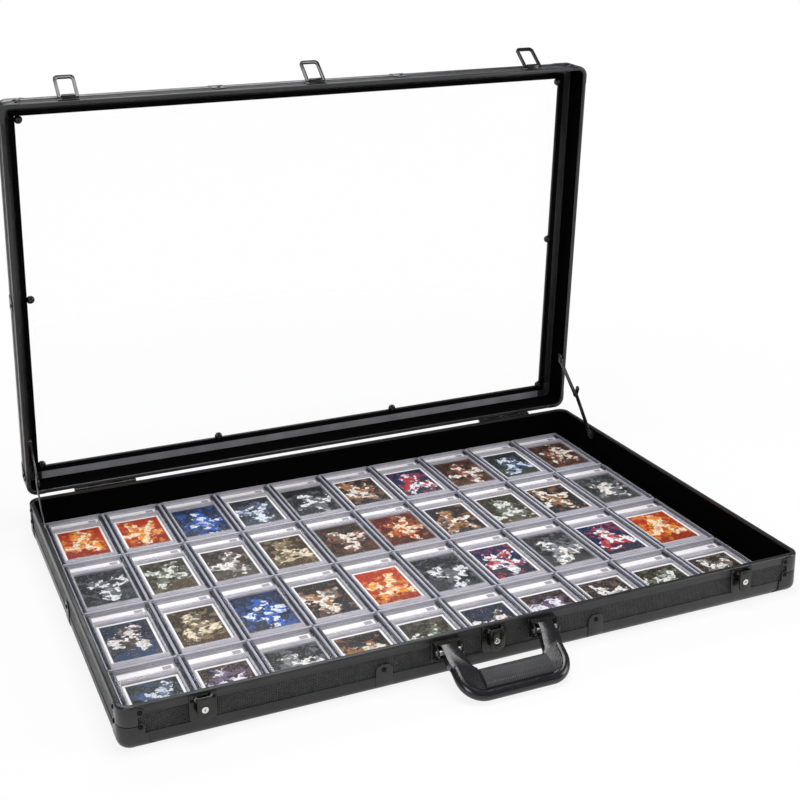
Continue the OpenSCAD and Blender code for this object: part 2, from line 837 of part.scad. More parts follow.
module tray_hinge_leaves() {
    color(black) on_side(2) for (x = [-hinge_x, hinge_x]) translate([x, 0, tray_h]) hinge_leaf(0);
}

module lid_hinge_leaves() {
    color(black) with_lid() on_side(2) for (x = [-hinge_x, hinge_x])
        translate([x, 0, tray_h]) mirror([0, 0, 1]) hinge_leaf(1);
}

module hinge_pins() {
    color(steel) on_side(2) for (x = [-hinge_x, hinge_x])
        translate([x, -hinge_off, tray_h]) rotate([0, 90, 0])
            cylinder(h = hinge_l - air, r = hinge_pin_r, center = true);
}

// Bracket plate on the tray's side wall, with the lower link's rivet
module stay_foot_piece() {
    translate([case_l / 2 - wall_t - foot_t, stay_foot[0], stay_foot[1]]) rotate([90, 0, 90]) {
        linear_extrude(foot_t) {
            circle(stay_plate_w / 2);
            translate([-stay_plate_w / 2, 0]) square([stay_plate_w, stay_plate_w / 2]);
        }
        translate([0, 0, -link_t - 2 * air]) cylinder(h = link_t + 2 * air, r = stay_pin_r);
        translate([0, 0, -link_t - 2 * air - head_t]) cylinder(h = head_t, r = head_r);
    }
}

module stay_feet() {
    color(black) {
        stay_foot_piece();
        mirror([1, 0, 0]) stay_foot_piece();
    }
}

// Bracket on the lid's side wall, drawn closed, with the upper link's rivet
module stay_head_piece() {
    arm = case_l / 2 - wall_t - foot_t - upper_link_x;
    translate([case_l / 2 - wall_t - foot_t, case_w / 2 - stay_up, tray_h + stay_in])
        rotate([90, 0, 90]) {
            linear_extrude(foot_t) translate([-stay_plate_w / 2, 0.5])
                square([stay_plate_w, stay_plate_w - 2]);
            translate([0, 0, air - arm]) cylinder(h = arm, r = head_r + 0.2);
            translate([0, 0, -arm - link_t - air]) cylinder(h = link_t + 3 * air, r = stay_pin_r);
            translate([0, 0, -arm - link_t - air - head_t]) cylinder(h = head_t, r = head_r);
        }
}

module stay_heads() {
    color(black) with_lid() {
        stay_head_piece();
        mirror([1, 0, 0]) stay_head_piece();
    }
}

module link_bar(length) {
    circle(link_w / 2 + 1);
    translate([0, -link_w / 2]) square([length, link_w]);
    translate([length, 0]) circle(link_w / 2 + 1);
}

// Lower link, with the spur that the hand pushes to unlock the stay
module lower_link() {
    translate([link_x - link_t, stay_foot[0], stay_foot[1]]) rotate([90, 0, 90])
        rotate([0, 0, lower_angle]) linear_extrude(link_t) difference() {
            union() {
                link_bar(link_l);
                translate([link_l, 0]) rotate(spur_turn) {
                    translate([0, -link_w / 2]) square([spur_l, link_w]);
                    translate([spur_l, 0]) circle(link_w / 2);
                }
            }
            circle(stay_pin_r + fit);
        }
}

module upper_link() {
    translate([upper_link_x - link_t, stay_head[0], stay_head[1]]) rotate([90, 0, 90])
        rotate([0, 0, upper_angle]) {
            linear_extrude(link_t) difference() {
                link_bar(upper_link_l);
                circle(stay_pin_r + fit);
            }
            translate([upper_link_l, 0, -head_t]) cylinder(h = head_t, r = head_r);
        }
}

module on_stay_side(side) {
    if (side < 0) mirror([1, 0, 0]) children();
    else children();
}

module stay_lower(side) {
    color(black) on_stay_side(side) lower_link();
}

module stay_upper(side) {
    color(black) on_stay_side(side) upper_link();
}

// Spreads pieces over the grid of card holders
module holder_grid() {
    for (c = [0:columns - 1], r = [0:rows - 1])
        translate([(c - (columns - 1) / 2) * pitch_x, (r - (rows - 1) / 2) * pitch_y, floor_z])
            children();
}

module holder_outline() {
    rounded_rect(holder_w, holder_l, 3);
}

module holder_backs() {
    color("#b9bac6") holder_grid() difference() {
        linear_extrude(back_t) holder_outline();
        translate([0, 0, shell_t]) linear_extrude(back_t) square([well_w, well_l], center = true);
    }
}

module holder_fronts() {
    color("#c9cad4") holder_grid() difference() {
        translate([0, 0, back_t]) linear_extrude(front_t) holder_outline();
        translate([0, 0, back_t - 1]) linear_extrude(front_t - shell_t + 0.5)
            square([well_w, well_l], center = true);
        translate([0, 0, holder_t - 0.5]) linear_extrude(1)
            rounded_rect(holder_w - 5, holder_l - 5, 2);
    }
}

module holder_frames() {
    color("#dcdce4") holder_grid() translate([0, 0, shell_t + frame_air]) difference() {
        linear_extrude(frame_h) square([well_w - 2 * frame_air, well_l - 2 * frame_air], center = true);
        translate([0, card_mid, sheet_t]) linear_extrude(frame_h)
            square([card_w + 1, card_l + 1], center = true);
        translate([0, label_mid, sheet_t]) linear_extrude(frame_h)
            square([label_w + 1, label_l + 1], center = true);
    }
}

module sheet(width, length, y) {
    translate([0, y, shell_t + frame_air + 2 * sheet_t]) linear_extrude(sheet_t)
        square([width, length], center = true);
}

module cards() {
    color("#5d6672") holder_grid() sheet(card_w, card_l, card_mid);
}

module labels() {
    color("#e8e6ea") holder_grid() sheet(label_w, label_l, label_mid);
}

module lid_rail(i) {
    color(charcoal) lid_shell() rail(i, lid_wall_h, lid_rail_h, flange_w, flange_t, lid_edge_r);
}

module lid_rim_rails() {
    color(charcoal) lid_shell() for (i = [0:3])
        rim(i, lid_wall_h, lid_rim_h, lid_edge_r, flange_w + 2, lid_seam);
}

module lid_panels() {
    color(charcoal) lid_shell() panels(lid_wall_h, lid_rail_h, lid_rim_h, flange_w + 2, lid_seam);
}

module lid_lining() {
    color(felt) lid_shell() lining(flange_t + pane_t + 0.5, lid_wall_h - rim_lip_h);
}

module lid_outer_corners() {
    color(charcoal) lid_shell()
        outer_castings(lid_wall_h, lid_seam, lid_rail_h, flange_w, flange_t, lid_edge_r);
}

module lid_rim_corners() {
    color(charcoal) lid_shell() rim_castings(lid_wall_h, lid_seam, flange_w, lid_edge_r);
}

module lid_clamps() {
    color(charcoal) lid_shell() clamps(lid_wall_h, lid_seam + 5, lid_edge_r, lid_seam);
}

module lid_rivets() {
    color(steel) lid_shell() rivet_places(lid_wall_h, lid_seam) rivet();
}

module clear_pane() {
    edge = leg_t + 1;
    color("lightblue", 0.3) lid_shell() translate([0, 0, flange_t]) linear_extrude(pane_t)
        rounded_rect(case_l - 2 * edge, case_w - 2 * edge, corner_r - edge);
}

// Places a clip at each corner of the window, on its short sides and on the hinge side
module clip_places() {
    x = case_l / 2 - window_edge - clip_in;
    y = case_w / 2 - window_edge - clip_in;
    for (sx = [-1, 1]) {
        for (sy = [-1, 0, 1]) translate([sx * x, sy * y, flange_t + pane_t]) children();
        translate([sx * clip_x, y, flange_t + pane_t]) children();
    }
}

module window_strip() {
    out = window_edge - strip_w;
    color(black) lid_shell() difference() {
        translate([0, 0, flange_t + pane_t]) linear_extrude(strip_t) difference() {
            square([case_l - 2 * out, case_w - 2 * out], center = true);
            square([case_l - 2 * window_edge, case_w - 2 * window_edge], center = true);
        }
        clip_places() cylinder(h = 9, r = clip_d / 2 + 0.2, center = true);
    }
}

module pane_clips() {
    color(black) lid_shell() clip_places() difference() {
        union() {
            cylinder(h = clip_h * 0.6, r = clip_d / 2);
            translate([0, 0, clip_h * 0.6]) cylinder(h = clip_h * 0.4, r1 = clip_d / 2, r2 = clip_d / 3.5);
        }
        translate([0, 0, clip_h]) cylinder(h = 2, r = clip_d / 7, center = true);
    }
}

// Places a hasp's pieces on the closed lid, from the loop's pivot
module hasp_pose(x) {
    with_lid() on_side(0) translate([x, -hasp_out, tray_h + hasp_up]) children();
}

module hasp_plate() {
    difference() {
        union() {
            translate([-hasp_w / 2, hasp_out - plate_t, -hasp_h * 0.4])
                cube([hasp_w, plate_t, hasp_h]);
            rotate([0, 90, 0]) cylinder(h = barrel_l, r = barrel_r, center = true);
            translate([-barrel_l / 2, 0, -barrel_r]) cube([barrel_l, hasp_out - plate_t / 2, 2 * barrel_r]);
        }
        rotate([0, 90, 0]) cylinder(h = loop_w, r = loop_pin_r + fit, center = true);
    }
}

module hasp_plates() {
    color(black) for (x = latch_xs) hasp_pose(x) hasp_plate();
}

// Loop with two inward pins, drawn pointing straight out and leaned back
module hasp_loop(x) {
    inner = loop_w / 2 - loop_bar;
    bend_r = 6;
    hole_r = 3;
    pin_l = 6;
    color(black) hasp_pose(x) rotate([-loop_lean, 0, 0]) {
        translate([0, 0, -loop_t / 2]) linear_extrude(loop_t) difference() {
            translate([0, (2 - loop_l) / 2]) rounded_rect(loop_w, loop_l + 2, 1.9);
            translate([0, (loop_end - loop_l) / 2 + hole_r])
                rounded_rect(2 * inner, loop_l - loop_end + 2 * hole_r, hole_r);
            for (s = [-1, 1]) translate([s * (loop_w / 2 - bend_r), bend_r - loop_l]) difference() {
                translate([s > 0 ? 0 : -bend_r - 1, -bend_r - 1]) square(bend_r + 1);
                circle(bend_r);
            }
        }
        for (s = [-1, 1]) translate([s > 0 ? inner - pin_l + 1 : -inner - 1, 0, 0]) rotate([0, 90, 0])
            cylinder(h = pin_l, r = loop_pin_r);
    }
}

bottom_panel();
floor_pad();
tray_lining();
tray_panels();
base_rail(0);  // base_rail_front
base_rail(1);  // base_rail_right
base_rail(2);  // base_rail_back
base_rail(3);  // base_rail_left
rim_rails();
base_corners();
rim_corners();
tray_clamps();
tray_rivets();
latch_plates();
latch_screws();
latch_pins();
handle_brackets();
handle_pins();
tray_hinge_leaves();
hinge_pins();
stay_feet();
holder_backs();
holder_frames();
holder_fronts();
cards();
labels();
lid_rail(0);  // lid_rail_front
lid_rail(1);  // lid_rail_right
lid_rail(2);  // lid_rail_back
lid_rail(3);  // lid_rail_left
lid_rim_rails();
lid_panels();
lid_lining();
lid_outer_corners();
lid_rim_corners();
lid_clamps();
lid_rivets();
clear_pane();
window_strip();
pane_clips();
hasp_plates();
lid_hinge_leaves();
stay_heads();
hasp_loop(latch_xs[0]);  // hasp_loop_left
hasp_loop(latch_xs[1]);  // hasp_loop_middle
hasp_loop(latch_xs[2]);  // hasp_loop_right
latch_lever(latch_xs[0]);  // latch_lever_left
latch_lever(latch_xs[1]);  // latch_lever_middle
latch_lever(latch_xs[2]);  // latch_lever_right
key_barrel(latch_xs[0]);  // key_barrel_left
key_barrel(latch_xs[1]);  // key_barrel_middle
key_barrel(latch_xs[2]);  // key_barrel_right
handle_frame();
handle_grip();
stay_lower(-1);  // stay_lower_left
stay_lower(1);  // stay_lower_right
stay_upper(-1);  // stay_upper_left
stay_upper(1);  // stay_upper_right
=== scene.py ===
import json
import math

import bmesh
import bpy
from mathutils import Matrix, Vector


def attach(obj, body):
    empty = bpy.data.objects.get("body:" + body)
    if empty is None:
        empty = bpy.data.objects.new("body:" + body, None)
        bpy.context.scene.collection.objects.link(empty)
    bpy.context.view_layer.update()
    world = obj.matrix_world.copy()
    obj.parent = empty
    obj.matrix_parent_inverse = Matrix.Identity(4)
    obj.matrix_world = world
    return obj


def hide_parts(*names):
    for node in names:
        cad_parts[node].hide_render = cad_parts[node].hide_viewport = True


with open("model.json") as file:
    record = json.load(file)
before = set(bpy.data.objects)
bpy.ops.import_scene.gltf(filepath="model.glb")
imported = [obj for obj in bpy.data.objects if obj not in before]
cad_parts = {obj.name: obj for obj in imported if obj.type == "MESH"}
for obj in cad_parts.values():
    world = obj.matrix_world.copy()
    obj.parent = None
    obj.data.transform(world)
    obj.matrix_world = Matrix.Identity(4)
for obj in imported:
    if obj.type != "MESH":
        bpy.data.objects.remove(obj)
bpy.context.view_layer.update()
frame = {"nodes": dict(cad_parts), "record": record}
record = frame["record"]
slotOf = {row["node"]: row["material_slot"] for row in record["subparts"]}
bodyOf = {name: body for body, names in record["behaviour"]["bodies"].items() for name in names}
print("case: packed model loaded,", len(slotOf), "nodes")


# Camera, at the photograph's viewing angle
cameraSettings = {
    "place": (-0.6439, -1.4262, 0.8094),
    "right": (0.93084, -0.36493, -0.01916),
    "down": (-0.11220, -0.23550, -0.96538),
    "forward": (0.34778, 0.90076, -0.26015),
    "lens": 58.88,
    "shift": (0.0993, -0.1563),
}


def makeCamera(s):
    data = bpy.data.cameras.new("viewCamera")
    data.sensor_width = 36
    data.lens = s["lens"]
    data.shift_x, data.shift_y = s["shift"]
    data.clip_end = 50
    camera = bpy.data.objects.new("viewCamera", data)
    columns = [Vector(s["right"]).normalized(), -Vector(s["down"]).normalized(), -Vector(s["forward"]).normalized()]
    turn = Matrix(columns).transposed().to_4x4()
    camera.matrix_world = Matrix.Translation(s["place"]) @ turn
    bpy.context.scene.collection.objects.link(camera)
    bpy.context.scene.camera = camera


makeCamera(cameraSettings)


# Shader helpers
def colour(code, alpha=1.0):
    parts = [int(code[i:i + 2], 16) / 255 for i in (1, 3, 5)]
    return tuple(p / 12.92 if p <= 0.04045 else ((p + 0.055) / 1.055) ** 2.4 for p in parts) + (alpha,)


class Shader:
    def __init__(self, name):
        self.material = bpy.data.materials.new(name)
        self.material.use_nodes = True
        self.tree = self.material.node_tree
        self.surface = self.tree.nodes["Principled BSDF"]
        self.coords = self.tree.nodes.new("ShaderNodeTexCoord").outputs["Object"]

    def put(self, socket, value):
        if isinstance(value, bpy.types.NodeSocket):
            self.tree.links.new(value, socket)
        elif value is not None:
            socket.default_value = value

    def add(self, kind, inputs=(), **settings):
        node = self.tree.nodes.new("ShaderNode" + kind)
        for key, value in settings.items():
            setattr(node, key, value)
        pairs = inputs.items() if isinstance(inputs, dict) else enumerate(inputs)
        for key, value in pairs:
            self.put(node.inputs[key], value)
        return node

    def calc(self, operation, a, b=None, c=None):
        return self.add("Math", (a, b, c), operation=operation).outputs[0]

    def vector(self, operation, a, b=None):
        return self.add("VectorMath", (a, b), operation=operation).outputs[0]

    def split(self, value):
        return self.add("SeparateXYZ", (value,)).outputs

    def mix(self, factor, a, b):
        node = self.add("Mix", data_type="RGBA")
        for socket, value in ((node.inputs[0], factor), (node.inputs[6], a), (node.inputs[7], b)):
            self.put(socket, value)
        return node.outputs[2]

    def noise(self, millimetres, detail):
        return self.add("TexNoise", {"Vector": self.coords, "Scale": 1000 / millimetres, "Detail": detail})

    # One flat colour after another, with no blend between them
    def flatSteps(self, factor, stops):
        node = self.add("ValToRGB", (factor,))
        node.color_ramp.interpolation = "CONSTANT"
        while len(node.color_ramp.elements) < len(stops):
            node.color_ramp.elements.new(0.5)
        for element, stop in zip(node.color_ramp.elements, stops):
            element.position = stop[0]
        for element, stop in zip(node.color_ramp.elements, stops):
            element.color = colour(stop[1])
        return node.outputs[0]

    def span(self, value, low, high, newLow=0.0, newHigh=1.0):
        return self.add("MapRange", (value, low, high, newLow, newHigh)).outputs[0]

    def bump(self, height, distance, strength):
        return self.add("Bump", {"Height": height, "Distance": distance, "Strength": strength}).outputs[0]

    def set(self, **values):
        for key, value in values.items():
            self.put(self.surface.inputs[key.replace("_", " ")], value)


# Coated metal: fine orange peel, rubbed patches and a little dust in the gloss. Sizes in millimetres
coating = {"patch": 38, "speck": 2.4, "gloss": 9, "relief": 0.5}


def coatedMetal(name, s):
    m = Shader(name)
    patches = m.noise(coating["patch"], 4).outputs[0]
    grain = m.noise(s["grain"], 2).outputs[0]
    specks = m.span(m.noise(coating["speck"], 4).outputs[0], 0.4, 0.66, 0.0, 0.6)
    worn = m.mix(m.span(patches, 0.35, 0.7), colour(s["dark"]), colour(s["light"]))
    gloss = m.noise(coating["gloss"], 5).outputs[0]
    m.set(Base_Color=m.mix(specks, worn, colour(s["light"])))
    m.set(Roughness=m.span(gloss, 0.3, 0.75, s["rough"] - 0.06, s["rough"] + 0.08))
    m.set(Normal=m.bump(grain, s["depth"], coating["relief"]))
    return m.material


# Pressed sheet: small diamonds in crossing diagonal rows, a little uneven, with a painted highlight on each diamond
pressing = {"uneven": 5, "gloss": 14}


def pressedSheet(name, s):
    m = Shader(name)
    place = m.add("Mapping", {"Vector": m.coords, "Rotation": (math.radians(s["turn"]), 0, 0)}).outputs[0]
    x, y, z = m.split(place)
    along = m.calc("ADD", x, y)
    wave = 2 * math.pi / s["pitch"]
    rows = [m.calc("SINE", m.calc("MULTIPLY", m.calc(way, along, z), wave)) for way in ("ADD", "SUBTRACT")]
    diamonds = m.calc("MULTIPLY", rows[0], rows[1])
    uneven = m.calc("ADD", diamonds, m.span(m.noise(pressing["uneven"], 3).outputs[0], 0.3, 0.7, -0.5, 0.5))
    gloss = m.noise(pressing["gloss"], 4).outputs[0]
    # painted highlight: the lighter colour on the raised diamonds stands for light catching their tops; the bump
    # below gives their relief
    m.set(Base_Color=m.mix(m.span(uneven, -0.4, 0.7), colour(s["dark"]), colour(s["light"])))
    m.set(Roughness=m.span(gloss, 0.3, 0.7, s["rough"] - 0.05, s["rough"] + 0.08))
    m.set(Normal=m.bump(diamonds, s["depth"], 1.0))
    return m.material


def felt(name, s):
    m = Shader(name)
    fibre = m.noise(s["fibre"], 6).outputs[0]
    m.set(Base_Color=m.mix(fibre, colour(s["dark"]), colour(s["light"])), Roughness=0.95)
    m.set(Normal=m.bump(fibre, 0.0004, 0.8), Specular_IOR_Level=s["shine"])
    return m.material


# Bare or plated metal, with scratches drawn out along x
def plainMetal(name, s):
    m = Shader(name)
    drawn = m.vector("MULTIPLY", m.coords, (1, 12, 12))
    scratches = m.add("TexNoise", {"Vector": drawn, "Scale": 900, "Detail": 3}).outputs[0]
    m.set(Base_Color=colour(s["tint"]), Metallic=1.0)
    m.set(Roughness=m.span(scratches, 0.3, 0.7, s["rough"] - 0.05, s["rough"] + 0.1))
    m.set(Normal=m.bump(scratches, 0.00005, 0.4))
    return m.material


def ribbedGrip(name, s):
    m = Shader(name)
    x = m.split(m.coords)[0]
    ribs = m.calc("SINE", m.calc("MULTIPLY", x, 2 * math.pi / s["pitch"]))
    m.set(Base_Color=m.mix(m.noise(20, 3).outputs[0], colour(s["dark"]), colour(s["light"])), Roughness=s["rough"])
    m.set(Normal=m.bump(ribs, s["depth"], 0.6))
    return m.material


def clearSheet(name, s):
    m = Shader(name)
    m.set(Base_Color=colour(s["tint"]), Roughness=m.span(m.noise(60, 4).outputs[0], 0.3, 0.7, 0.03, 0.09))
    m.set(Alpha=s["alpha"], IOR=1.49, Specular_IOR_Level=s["shine"])
    return m.material


# Position of a point in its own card, in metres from the card's middle, and a number per card
cardGrid = {"columns": 10, "rows": 4, "pitch": (0.0818, 0.1344), "numberDepth": 0.37}


def cellCoordinates(m, middle):
    x, y, z = m.split(m.coords)
    local, cell = [], []
    pitchX, pitchY = cardGrid["pitch"]
    ways = ((x, pitchX, cardGrid["columns"], 0.0), (y, pitchY, cardGrid["rows"], middle))
    for value, pitch, count, offset in ways:
        units = m.calc("ADD", m.calc("DIVIDE", value, pitch), count / 2)
        index = m.calc("FLOOR", units)
        cell.append(index)
        fromCentre = m.calc("MULTIPLY", m.calc("SUBTRACT", m.calc("SUBTRACT", units, index), 0.5), pitch)
        local.append(m.calc("SUBTRACT", fromCentre, offset))
    number = m.add("CombineXYZ", (cell[0], cell[1], cardGrid["numberDepth"])).outputs[0]
    return local[0], local[1], number


def insideBox(m, x, y, halfX, halfY, soft=0.0002):
    overX = m.calc("SUBTRACT", m.calc("ABSOLUTE", x), halfX)
    overY = m.calc("SUBTRACT", m.calc("ABSOLUTE", y), halfY)
    return m.span(m.calc("MAXIMUM", overX, overY), -soft, soft, 1.0, 0.0)


# Clear moulded holders: see-through over the card, smoky along the sides; the pale ends are a painted reflection,
# and the bright edges and the light lines on the sides are painted highlights
holderShape = {
    "half": (0.04065, 0.06685),
    "edge": 0.0011,
    "step": 0.0026,
    "stepWidth": 0.0007,
    "sideFrom": 0.0345,
    "cardHalf": (0.0322, 0.0450),
    "cardMiddle": -0.0076,
    "labelHalf": (0.0349, 0.0082),
    "labelMiddle": 0.0536,
    "soft": 0.0004,
    "ridge": 0.0028,
    "dimple": 6,
}


def holderZones(m):
    x, y, number = cellCoordinates(m, 0.0)
    h = holderShape
    insets = (h["edge"], h["step"], h["step"] + h["stepWidth"])
    rims = [insideBox(m, x, y, h["half"][0] - inset, h["half"][1] - inset) for inset in insets]
    edge = m.calc("SUBTRACT", 1.0, rims[0])
    step = m.calc("SUBTRACT", rims[1], rims[2])
    side = m.span(m.calc("ABSOLUTE", x), h["sideFrom"] - h["soft"], h["sideFrom"] + h["soft"])
    windows = [insideBox(m, x, m.calc("SUBTRACT", y, h[middle]), *h[size], h["soft"])
               for middle, size in (("cardMiddle", "cardHalf"), ("labelMiddle", "labelHalf"))]
    return x, edge, step, side, m.calc("MAXIMUM", windows[0], windows[1])


def evenGrey(value):
    return (value, value, value, 1.0)


def holderPlastic(name, s):
    m = Shader(name)
    x, edge, step, side, window = holderZones(m)
    drawn = m.vector("MULTIPLY", m.coords, (1, 4, 1))
    flow = m.add("TexNoise", {"Vector": drawn, "Scale": 45, "Detail": 5}).outputs[0]
    # painted reflection: the pale grey-white colour of the end bands stands for light mirrored off the plastic at a
    # grazing angle
    ends = m.mix(flow, colour(s["endDark"]), colour(s["endLight"]))
    # painted highlights: light lines across the side bands, where the moulding's ridges would catch the light
    paintedSideHighlightLines = m.calc("SINE", m.calc("MULTIPLY", x, 2 * math.pi / holderShape["ridge"]))
    smoky = m.mix(flow, colour(s["sideDark"]), colour(s["sideLight"]))
    sides = m.mix(m.span(paintedSideHighlightLines, 0.2, 0.9, 0.0, 0.7), smoky, colour(s["sideLine"]))
    body = m.mix(step, m.mix(side, ends, sides), colour(s["sideDark"]))
    # painted highlight: the bright colour round the holder's outer edge
    m.set(Base_Color=m.mix(edge, body, colour(s["edge"])))
    m.set(Roughness=m.span(flow, 0.3, 0.7, s["rough"], s["rough"] + 0.1))
    band = m.mix(side, evenGrey(s["ends"]), evenGrey(s["sides"]))
    raised = m.calc("MAXIMUM", m.calc("MULTIPLY", step, 0.6), band)
    solid = m.calc("MAXIMUM", m.calc("MULTIPLY", edge, 0.8), raised)
    m.set(Alpha=m.mix(window, solid, evenGrey(s["cover"])), IOR=1.5, Specular_IOR_Level=s["shine"])
    m.set(Normal=m.bump(m.noise(holderShape["dimple"], 2).outputs[0], 0.0002, 0.35))
    return m.material


# Plain generic card pictures: a rough burst of facets on a dark, speckled ground, in a border on some cards
cardPrint = {
    "middle": -0.0076,
    "pictureHalf": (0.0286, 0.0412),
    "border": "#f7f5f7",
    "plainShare": 0.3,
    "grain": 3.2,
    "bend": {"size": 9, "reach": (0.03, 0.036, 0.0)},
    "wander": {"across": (-0.006, 0.006), "along": (-0.004, 0.008)},
    "burst": {"size": 0.0205, "wave": 0.009, "fewestPoints": 3.0, "morePoints": 3.0, "squash": 0.8, "soft": 0.0006},
    "facets": {"scale": 150.0, "swirl": 6, "reach": (0.012, 0.012, 0.0)},
    "slant": {"most": 0.5, "from": -0.02, "to": -0.017},
    "speck": 1.8,
    "grounds": [
        "#131318", "#241b18", "#10254a", "#1c1e21", "#5c1712", "#161d24", "#2c211a", "#111f4c",
        "#1d1f1a", "#b8381a", "#1e2128", "#2e201b", "#151518", "#22262c", "#191a22", "#26201e",
    ],
    "fields": [
        "#34363c", "#4a3529", "#3b3f47", "#4b4a4c", "#4c2a20", "#39422f", "#54432f", "#2e3440",
        "#5b4a38", "#8f2a14", "#2f4668", "#57504a", "#3a2b28", "#484c46", "#6a4a30", "#2b2d33",
    ],
    "middles": [
        "#70717a", "#8a4c38", "#3566c4", "#858b94", "#c9682f", "#4a5f86", "#9c8a68", "#c4373a",
        "#6d7562", "#f0a03c", "#5c4846", "#8a7f74", "#9e3a34", "#56688c", "#7a6a8c", "#a8744a",
    ],
    "bright": [
        "#eceef2", "#f2e6da", "#e6ecf6", "#f7f3ee", "#f5e0c2", "#dce4ee", "#ece0c6", "#f4f6fa",
        "#e8ebe4", "#fbe9c6", "#efebea", "#f4f1ee", "#f6e8e4", "#e6ebf5", "#efeaf2", "#f3ece2",
    ],
}


# How far a point is inside the card's burst, above 0 within it
def burstShape(m, x, y, chances, pick, s):
    pushed = m.vector("SUBTRACT", m.noise(s["bend"]["size"], 4).outputs[1], (0.5, 0.5, 0.5))
    bends = m.split(m.vector("MULTIPLY", pushed, s["bend"]["reach"]))
    wander, burst = s["wander"], s["burst"]
    offX = m.calc("ADD", m.calc("ADD", x, bends[0]), m.span(chances[0], 0.0, 1.0, *wander["across"]))
    offY = m.calc("ADD", m.calc("ADD", y, bends[1]), m.span(chances[1], 0.0, 1.0, *wander["along"]))
    angle = m.calc("ARCTAN2", offY, offX)
    extra = m.calc("FLOOR", m.calc("MULTIPLY", chances[2], burst["morePoints"]))
    points = m.calc("ADD", extra, burst["fewestPoints"])
    waves = m.calc("SINE", m.calc("ADD", m.calc("MULTIPLY", angle, points), m.calc("MULTIPLY", pick, 6.3)))
    squashed = m.calc("POWER", m.calc("MULTIPLY", offY, burst["squash"]), 2.0)
    reach = m.calc("SQRT", m.calc("ADD", m.calc("POWER", offX, 2.0), squashed))
    return m.calc("SUBTRACT", m.calc("MULTIPLY_ADD", waves, burst["wave"], burst["size"]), reach)


def cardFaces(name, s):
    m = Shader(name)
    x, y, number = cellCoordinates(m, s["middle"])
    chance = m.add("TexWhiteNoise", (number,))
    pick = chance.outputs[0]
    chances = m.split(chance.outputs[1])
    count = len(s["grounds"])
    ground, field, middle, bright = [m.flatSteps(pick, [(i / count, s[key][i]) for i in range(count)])
                                     for key in ("grounds", "fields", "middles", "bright")]
    fine = m.noise(s["grain"], 5).outputs[0]
    burst = burstShape(m, x, y, chances, pick, s)
    facets, slant = s["facets"], s["slant"]
    pushed = m.vector("SUBTRACT", m.noise(facets["swirl"], 2).outputs[1], (0.5, 0.5, 0.5))
    swirl = m.vector("MULTIPLY", pushed, facets["reach"])
    spread = m.add("TexVoronoi", {"Vector": m.vector("ADD", m.coords, swirl), "Scale": facets["scale"]})
    shards = m.split(spread.outputs["Color"])
    back = m.mix(m.span(fine, 0.44, 0.66, 0.0, 0.8), ground, field)
    lean = m.span(chances[1], 0.0, 1.0, -slant["most"], slant["most"])
    line = m.calc("ADD", y, m.calc("MULTIPLY", x, lean))
    back = m.mix(m.span(line, slant["from"], slant["to"], 0.8, 0.0), back, field)
    back = m.mix(m.span(shards[0], 0.74, 0.86, 0.0, 0.5), back, middle)
    back = m.mix(m.span(m.noise(s["speck"], 3).outputs[0], 0.62, 0.72, 0.0, 0.5), back, bright)
    motif = m.mix(m.span(shards[1], 0.5, 0.62), bright, middle)
    motif = m.mix(m.span(shards[2], 0.74, 0.84, 0.0, 0.85), motif, ground)
    motif = m.mix(m.span(fine, 0.5, 0.62, 0.0, 0.5), motif, ground)
    picture = m.mix(m.span(burst, -s["burst"]["soft"], s["burst"]["soft"]), back, motif)
    bordered = m.calc("GREATER_THAN", chances[0], s["plainShare"])
    inner = insideBox(m, x, y, *s["pictureHalf"])
    border = m.calc("MULTIPLY", bordered, m.calc("SUBTRACT", 1.0, inner))
    m.set(Base_Color=m.mix(border, picture, colour(s["border"])))
    m.set(Roughness=m.span(fine, 0.3, 0.7, 0.3, 0.42), Specular_IOR_Level=0.15)
    return m.material


# White paper labels with a thin grey line and one grey patch
labelPrint = {
    "middle": 0.0536,
    "half": (0.03445, 0.00775),
    "line": (0.0004, 0.0018),
    "patchMiddle": 0.024,
    "patchHalf": (0.005, 0.0035),
    "paper": "#fdfbfd",
    "shade": "#f1eef2",
    "frame": "#615d68",
    "patch": "#a29ea8",
}


def labelFaces(name, s):
    m = Shader(name)
    x, y, number = cellCoordinates(m, s["middle"])
    halfX, halfY = s["half"]
    outer, inner = [insideBox(m, x, y, halfX - inset, halfY - inset) for inset in s["line"]]
    line = m.calc("SUBTRACT", outer, inner)
    patch = insideBox(m, m.calc("SUBTRACT", x, s["patchMiddle"]), y, *s["patchHalf"])
    paper = m.mix(m.noise(1.2, 3).outputs[0], colour(s["paper"]), colour(s["shade"]))
    tint = m.mix(line, paper, colour(s["frame"]))
    m.set(Base_Color=m.mix(patch, tint, colour(s["patch"])), Roughness=0.45)
    return m.material


